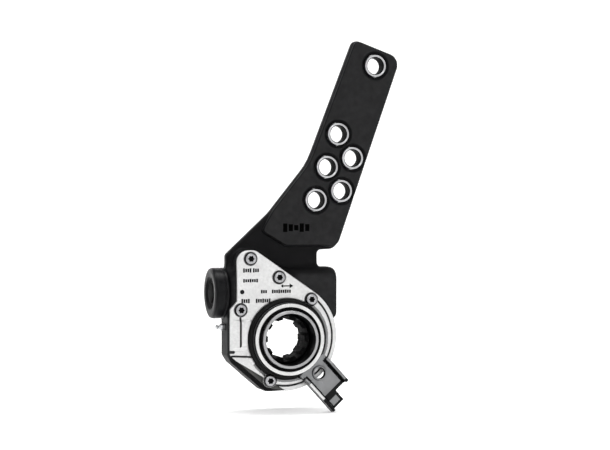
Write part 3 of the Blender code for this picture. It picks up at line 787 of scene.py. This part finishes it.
def make_nipple():
    """Grease nipple: a ball head on a waist, over a round foot and its thread."""
    low, high = node_box("grease_nipple")
    tip, seat, end = low[0], HOUSING_LEFT - 0.3, high[0]
    centre = ((low[1] + high[1]) / 2, (low[2] + high[2]) / 2)
    foot, thread = 2.8, 2.6
    profile = [(tip, 0), (tip, 1.0), (tip + 0.5, 1.6), (tip + 1.4, 2.0), (tip + 2.4, 1.3)]
    profile += [(tip + 3.2, 1.4), (tip + 4.2, thread), (seat - 2.6, foot), (seat, foot)]
    profile += [(seat, thread), (end, thread), (end, 0)]
    nipple = turned("nipple", profile, "X", centre, 48, 0.12)
    dress(nipple, HOUSING, "zinc_steel", "grease_nipple")


def make_cover():
    """Pressed cover: a raised field over the rack, a step round the ring, pads for the screws."""
    grid = Grid(*node_box("cover_plate"), 0.4)
    x, h, z = grid.x, grid.h, grid.z
    ahead = 40
    front, inside, ridge = COVER_FRONT, COVER_BACK + 0.8, COVER_FRONT + 1.7
    whole = grid.polygon(cover_outline())
    outline = np.maximum(whole, -0.517 * (x + 49.5) - 0.856 * (z + 14.6))
    around = grid.circle(COVER_CENTRE, 0)
    plate = slab(outline, h, COVER_BACK, front - 0.9, 0.4)

    right = x * 0.766 - z * 0.643
    below = np.minimum(np.minimum(-9.5 - z, -right), around - 37.4)
    field = np.maximum(np.maximum(outline + 0.2, np.minimum(around - 40.3, right)), below)
    plate = join(plate, slab(field, h, inside, front, 0.4), 0.5)
    groove = np.maximum(np.abs(around - 41.3) - 0.7, -right)
    plate = carve(plate, np.maximum(groove, front - 2.2 - h), 0.3)

    slope = np.minimum(ridge, front - 0.3 + 1.9 * (x + 49.2) / 8.4)
    box = np.maximum(np.maximum(-49.2 - x, x + 32.0), np.maximum(z - 18.5, -8.0 - z))
    box = np.maximum(box, (h - slope) * 0.97)
    box = np.maximum(box, ((x + 32.0) + (h - ridge)) * 0.7)
    box = np.maximum(box, (-(z + 7.0) + 1.4 * (h - front)) * 0.58)
    box = np.maximum(box, ((z - 17.0) + (h - front)) * 0.7)
    plate = join(plate, np.maximum(box, inside - h), 0.5)

    grooves = (
        ((-40.8, 19.5), (-40.8, -5.5), 0.8),
        ((-50.0, -10.0), (-46.5, -10.2), 1.2),
        ((-48.0, -13.6), (-28.5, -14.6), 0.75),
        ((-28.5, -14.6), (-18.8, -32.5), 0.75),
    )
    for start, end, half in grooves:
        line = segment_distance(x, z, start, end) - half
        plate = carve(plate, np.maximum(line, front - 2.4 - h), 0.2)

    pad_radius, seat_radius, seat_depth = 6.0, 5.8, 1.3
    for place in COVER_SCREWS:
        pad = slab(grid.circle(place, pad_radius), h, inside, front + 0.05, 0.3)
        plate = join(plate, np.maximum(pad, whole), 0.6)
        seat = slab(grid.circle(place, seat_radius), h, front - seat_depth, ahead)
        plate = carve(plate, seat, 0.2)

    recess_radius, hole_radius = 34.8, 27.2
    recess = grid.circle(BORE, recess_radius)
    recess = np.maximum(recess, (recess + (front - h) * 0.9) * 0.74)
    plate = carve(plate, np.maximum(recess, RECESS_FLOOR - h), 0.3)
    plate = carve(plate, slab(grid.circle(BORE, hole_radius), h, 0, ahead))
    for place in COVER_SCREWS:
        plate = carve(plate, slab(grid.circle(place, SCREW_HOLE), h, 0, ahead))
    cover = dress(draw_surface("cover", plate, grid), HOUSING, "cover_zinc", "cover_plate")

    # Painted shade: the recess wall and slope on the right of the ring take a dark grey finish.
    def shaded(x, h, z):
        return math.hypot(x, z) < recess_radius + 1.9 and 0.766 * x > 0.643 * z - 9.0

    recolour(cover, "painted_recess_shade", shaded)


def stamp(name, outlines, height, finish, slot):
    """Thin raised marks on a face at a height."""
    points, faces = [], []
    for outline in outlines:
        start, count = len(points), len(outline)
        for level in (height - 0.15, height + 0.06):
            points.extend((x * MM, -level * MM, z * MM) for x, z in outline)
        faces.append(tuple(start + i for i in range(count)))
        faces.append(tuple(start + count + i for i in reversed(range(count))))
        for i in range(count):
            j = (i + 1) % count
            faces.append((start + i, start + count + i, start + count + j, start + j))
    mesh = bpy.data.meshes.new(name)
    mesh.from_pydata(points, [], faces)
    tidy_mesh(mesh)
    dress(link(name, mesh), HOUSING, slot, finish=finish)


def bar(x, z, width, half):
    """Upright rectangle from its left end, its middle height, its width and half its height."""
    return [(x, z - half), (x + width, z - half), (x + width, z + half), (x, z + half)]


def make_marks():
    """Plain ticks, a dot and a double arrow in place of stamped lettering."""
    rows = [(58.2, 3.6, -38.5, 4), (58.2, 3.6, -30.0, 3), (49.6, 3.0, -38.5, 7)]
    rows += [(40.2, 3.0, -23.0, 3), (40.2, 3.2, -13.4, 9), (32.6, 3.6, -40.0, 4)]
    rows += [(32.6, 3.6, -27.5, 7)]
    pitch, width = 1.9, 1.5
    ticks = []
    for z, height, left, count in rows:
        for k in range(count):
            ticks.append(bar(left + pitch * k, z, width, height * (0.42 if k % 3 else 0.5)))
    ticks.append(arc((-39.3, 40.2), 1.9, 0, 340, 17))
    arrow = [(-5.5, 44.7), (-3.5, 46.3), (-3.5, 45.2), (2.2, 45.2), (2.2, 46.8), (5.6, 44.7)]
    arrow += [(2.2, 42.6), (2.2, 44.2), (-3.5, 44.2), (-3.5, 43.1)]
    ticks.append(arrow)
    stamp("cover_ticks", ticks, COVER_FRONT, "marking", "cover_zinc")
    dents = [bar(-0.5 + 4.9 * k, 93.6, 3.7, 3.6 - 0.7 * (k % 3)) for k in range(5)]
    stamp("arm_ticks", dents, ARM_FACE, "arm_marking", "black_paint")


def lobed(radius, depth, count, points):
    """Round outline with lobes, as used for the drive of a screw."""
    outline = []
    for k in range(points):
        angle = 2 * math.pi * k / points
        reach = radius - depth * (0.5 - 0.5 * math.cos(count * angle))
        outline.append((reach * math.cos(angle), reach * math.sin(angle)))
    return outline


def make_screws():
    """Domed cover screws, with painted shade round the rim and in their six-lobed drive."""
    low, high = node_box("cover_screw_1")
    tip, top, under = low[1], high[1], COVER_FRONT + 0.3
    head, shank, drive, drive_depth, lobe = 5.0, 2.7, 2.75, 1.6, 0.55
    sections = [(tip, shank - 0.6, 0), (tip + 0.8, shank, 0), (under, shank, 0)]
    sections += [(under, head - 0.15, 0), (under + 0.15, head, 0), (under + 0.8, head, 0)]
    sections += [(top - 0.55, head - 0.5, 0), (top - 0.15, head - 1.2, 0), (top, head - 1.8, 0)]
    sections += [(top, drive, lobe), (top - 0.15, drive - 0.15, lobe)]
    sections += [(top - drive_depth, drive - 0.25, lobe)]
    drive_edge, rim_edge = 2.7, 4.5
    for i, (x, z) in enumerate(COVER_SCREWS, 1):
        rings = []
        for height, radius, depth in sections:
            outline = lobed(radius, depth, 6, 72)
            rings.append([(x + dx, height, z + dz) for dx, dz in outline])
        screw = skin(f"torx_screw_{i}", rings)
        dress(screw, HOUSING, "zinc_steel", f"cover_screw_{i}", finish="screw_steel")

        # Painted shade: all but a ring between the drive and the rim takes the near-black finish.
        def dark(px, h, pz):
            return not drive_edge < math.dist((px, pz), (x, z)) < rim_edge

        recolour(screw, "dark_steel", dark)


# Control unit -------------------------------------------------------------------------------


def make_hub():
    """Stepped ring round the bore, and the rubber dust ring under it, whose wide lip is painted shade in the
    recess.
    """
    front, sleeve = HUB_FRONT, HUB_SLEEVE
    under, floor = BRACKET_BACK + 2.9, HUB_FRONT - 1.8
    bore, wall, foot = 21.6, 24.4, 25.5
    profile = [(HUB_BACK, bore), (sleeve - 0.9, bore), (sleeve, bore + 0.5), (sleeve, wall - 0.5)]
    profile += [(sleeve - 0.5, wall), (floor, wall + 0.2), (floor, 27.0), (front, 27.3)]
    profile += [(front, HUB_RADIUS - 0.4), (front - 0.7, HUB_RADIUS), (under, HUB_RADIUS)]
    profile += [(under, foot), (HUB_BACK, foot)]
    hub = turned("hub_ring", profile, "Y", BORE, 144, 0.25)
    dress(hub, CONTROL, "machined_steel", "control_hub")

    def dark(x, h, z):
        radius = math.hypot(x, z)
        groove = 24.3 < radius < 27.4 and h < front - 0.1
        return radius < 21.9 or groove or (radius > HUB_RADIUS - 0.5 and h < front - 0.05)

    recolour(hub, "dark_steel", dark)
    recolour(hub, "ring_steel", lambda x, h, z: h > front + 0.5 and math.hypot(x, z) > 21.9)

    low, high = node_box("dust_seal")
    back, top = low[1], high[1]
    inner, shoulder, outer = 27.5, 32.8, 34.3
    # The rubber seal widens below the cover's front into a lip that covers the recess floor in black, as painted
    # shade.
    profile = [(back, inner), (top, inner), (top, shoulder - 0.6), (top - 0.6, shoulder)]
    profile += [(COVER_FRONT + 0.2, shoulder), (COVER_FRONT - 0.4, outer), (back, outer)]
    dress(turned("dust_ring", profile, "Y", BORE, 144, 0.2), CONTROL, "rubber", "dust_seal")


def make_bracket():
    """Control arm: a ring under the hub and a channel with one long side, holed for the anchor."""
    grid = Grid(*node_box("control_arm_bracket"), 0.45)
    h = grid.h
    cos, sin = math.cos(BRACKET_ANGLE), math.sin(BRACKET_ANGLE)
    reach = grid.x * cos + grid.z * sin
    offset = -grid.x * sin + grid.z * cos
    behind, ahead = 0, 60
    web_top, collar_top = BRACKET_BACK + 2.6, BRACKET_BACK + 2.6 + 2.4
    half, half_wall, short, long = 14.0, 1.3, 61.0, 71.5

    inner = grid.circle(BORE, 25.8)
    ring = slab(np.maximum(grid.circle(BORE, 30.9), -inner), h, BRACKET_BACK, web_top, 0.35)
    end = np.where(offset > 1.0, short, long)
    strap = np.maximum(np.abs(offset) - half, np.maximum(reach - end, 29.5 - reach))
    plate = join(ring, slab(strap, h, BRACKET_BACK, web_top, 0.35), 0.8)
    side = np.abs(np.abs(offset) - half + half_wall) - half_wall
    side = np.maximum(side, np.maximum(reach - end, 34.0 - reach))
    slope = FLANGE_TOP - np.maximum(40.0 - reach, 0) * 0.55
    flanges = np.maximum(slab(side, h, BRACKET_BACK, FLANGE_TOP, 0.5), h - slope)
    plate = join(plate, flanges, 1.4)

    hole = np.sqrt((reach - ANCHOR_REACH) ** 2 + offset ** 2) - ANCHOR_RADIUS
    plate = carve(plate, slab(hole, h, behind, ahead), 0.4)
    plate = carve(plate, slab(inner, h, behind, ahead))
    collar = slab(np.abs(hole - 0.7) - 0.7, h, BRACKET_BACK, collar_top, 0.3)
    plate = join(plate, collar, 0.3)
    arm = draw_surface("control_arm", plate, grid)
    dress(arm, CONTROL, "zinc_steel", "control_arm_bracket", finish="arm_zinc")

    def shaded(x, h, z):
        along, across = x * cos + z * sin, abs(z * cos - x * sin)
        inner_side = 9.4 < across < 11.7 and along > 34.0 and h < FLANGE_TOP - 0.4
        in_hole = math.hypot(along - ANCHOR_REACH, across) < ANCHOR_RADIUS + 0.15
        return inner_side or (in_hole and h < collar_top - 0.3)

    # Painted highlight: the top of the left flange, short of the black end, takes the bright machined finish.
    def painted_highlight(x, h, z):
        along, across = x * cos + z * sin, z * cos - x * sin
        return h > FLANGE_TOP - 0.3 and across < 0 and along < BLACK_END_REACH - 0.2

    recolour(arm, "dark_steel", shaded)
    recolour(arm, "machined_steel", painted_highlight)


# Bore ---------------------------------------------------------------------------------------


RING_POINTS = 240


def plain_ring(height, radius):
    angles = [2 * math.pi * k / RING_POINTS for k in range(RING_POINTS)]
    return [(radius * math.cos(a), height, radius * math.sin(a)) for a in angles]


def waved_ring(height, count, inner, outer, sharpness, twist=0.0, middle=0.0):
    """Ring whose radius steps between two values with rounded corners."""
    ring = []
    for k in range(RING_POINTS):
        wave = math.cos(count * 2 * math.pi * k / RING_POINTS)
        share = min(1, max(0, 0.5 + sharpness * (wave - middle)))
        radius = inner + (outer - inner) * share * share * (3 - 2 * share)
        angle = 2 * math.pi * k / RING_POINTS + twist
        ring.append((radius * math.cos(angle), height, radius * math.sin(angle)))
    return ring


def make_wheel():
    """The worm wheel inside, and the splined hub that shows in the bore."""
    low, high = node_box("worm_wheel")
    back, face, rim_back = low[1], 7.0, -1.8
    disc, hub, seat = 20.5, 21.6, 22.5
    pitch, worm_radius, wheel_radius = 9.42, 8.5, 30.0

    def toothed(height):
        twist = pitch / (2 * math.pi * worm_radius) * height / wheel_radius
        return waved_ring(height, 20, 26.6, 32.4, 1.16, twist, 0.36)

    rings = [plain_ring(face, disc), plain_ring(rim_back, disc), plain_ring(rim_back, hub)]
    rings += [plain_ring(back, hub), plain_ring(back, seat), plain_ring(-7.5, seat)]
    rings += [toothed(-7.0), toothed(-2.4), toothed(2.4), toothed(face)]
    dress(skin("wheel_teeth", rings, closed=True), "wheel_body", "dark_steel", "worm_wheel")

    low, high = node_box("splined_hub")
    back, nose, outside = low[1], high[1], 20.2

    def splined(height, ease=0.0):
        return waved_ring(height, 10, 16.2 + ease, 19.05 + ease * 0.3, -2.0)

    rings = [splined(back + 0.8), splined(back, 0.9), plain_ring(back, outside)]
    rings += [plain_ring(nose - 0.5, outside), plain_ring(nose, outside - 0.3)]
    rings += [splined(nose, 0.7), splined(nose - 0.8)]
    dress(skin("spline", rings, closed=True), "wheel_body", "dark_steel", "splined_hub")


def make_rear_seal():
    """Lip seal of the bore at the back."""
    low, high = node_box("rear_seal")
    back, front = low[1], high[1]
    inner, outer = 22.8, 25.8
    profile = [(back, inner + 0.9), (back + 0.5, inner + 0.2), (back + 0.5, inner), (front, inner)]
    profile += [(front, outer), (back, outer), (back, outer - 0.8), (back + 0.7, outer - 1.1)]
    profile += [(back + 0.7, inner + 1.3)]
    dress(turned("bore_seal", profile, "Y", BORE, 96, 0.15), HOUSING, "rubber", "rear_seal")


def dress_frame():
    """Better finishes for the CAD nodes that stay."""
    slots = {entry["node"]: entry["material_slot"] for entry in frame["record"]["subparts"]}
    slots["worm_shaft"] = "ring_steel"
    for name, item in frame["nodes"].items():
        item.data.materials.clear()
        item.data.materials.append(FINISHES[slots[name]])


# Stage --------------------------------------------------------------------------------------


def stage_material():
    made = bpy.data.materials.new("studio_paper")
    made.use_nodes = True
    shader = made.node_tree.nodes["Principled BSDF"]
    shader.inputs["Base Color"].default_value = (0.86, 0.86, 0.86, 1)
    shader.inputs["Roughness"].default_value = 0.9
    shader.inputs["Specular IOR Level"].default_value = 0.1
    shader.inputs["Emission Color"].default_value = (1, 1, 1, 1)
    shader.inputs["Emission Strength"].default_value = 0.24
    return made


def make_stage():
    """A round paper floor that curves up into a wall all round the object."""
    floor = CAD_BOX[0].z - 0.0005
    radius, inside, height, sides = 0.7, 2.6, 3.2, 96
    bend = 16
    profile = [(0.02, floor), (0.4, floor), (1.2, floor)]
    for k in range(bend + 1):
        angle = math.pi / 2 * k / bend
        rise = radius - radius * math.cos(angle)
        profile.append((inside + radius * math.sin(angle), floor + rise))
    profile.append((inside + radius, floor + height))
    turns = [2 * math.pi * k / sides for k in range(sides)]
    points = [(r * math.cos(a), r * math.sin(a), z) for r, z in profile for a in turns]
    faces = [tuple(range(sides))]
    for j in range(len(profile) - 1):
        near, far = j * sides, (j + 1) * sides
        for i in range(sides):
            k = (i + 1) % sides
            faces.append((near + i, far + i, far + k, near + k))
    mesh = bpy.data.meshes.new("studio_sweep")
    mesh.from_pydata(points, [], faces)
    mesh.shade_smooth()
    mesh.materials.append(stage_material())
    link("studio_sweep", mesh)


def area_light(name, place, target, size, power):
    data = bpy.data.lights.new(name, "AREA")
    data.shape = "RECTANGLE"
    data.size, data.size_y = size
    data.energy = power
    item = bpy.data.objects.new(name, data)
    item.location = place
    item.rotation_euler = (Vector(target) - Vector(place)).to_track_quat("-Z", "Y").to_euler()
    bpy.context.scene.collection.objects.link(item)


def make_lights():
    centre = (CAD_BOX[0] + CAD_BOX[1]) / 2
    area_light("key", (-0.35, -1.5, 1.35), centre, (0.9, 0.9), 8.5)
    area_light("fill", (0.6, -1.6, 0.35), centre, (1.3, 1.3), 3.0)
    area_light("top", (0.0, -0.1, 1.8), centre, (1.6, 1.2), 14)
    area_light("back", (0.3, 0.2, 1.9), (0.3, 1.9, 0.4), (3.2, 0.6), 50)
    world = bpy.data.worlds.new("studio")
    world.use_nodes = True
    world.node_tree.nodes["Background"].inputs["Color"].default_value = (1, 1, 1, 1)
    world.node_tree.nodes["Background"].inputs["Strength"].default_value = 0.15
    bpy.context.scene.world = world
    bpy.context.scene.view_settings.view_transform = "Standard"


def make_camera():
    azimuth, elevation, distance = math.radians(-18.0), math.radians(1.0), 1.45
    centre = (CAD_BOX[0] + CAD_BOX[1]) / 2
    back = Vector(
        (
            math.sin(azimuth) * math.cos(elevation),
            -math.cos(azimuth) * math.cos(elevation),
            math.sin(elevation),
        )
    )
    data = bpy.data.cameras.new("camera")
    data.lens = 100
    item = bpy.data.objects.new("camera", data)
    item.location = centre + back * distance
    item.rotation_euler = (-back).to_track_quat("-Z", "Y").to_euler()
    bpy.context.scene.collection.objects.link(item)
    bpy.context.scene.camera = item


dress_frame()
make_housing()
make_bushes()
make_cap()
make_nipple()
make_cover()
make_marks()
make_screws()
make_hub()
make_bracket()
make_wheel()
make_rear_seal()
make_stage()
make_lights()
make_camera()
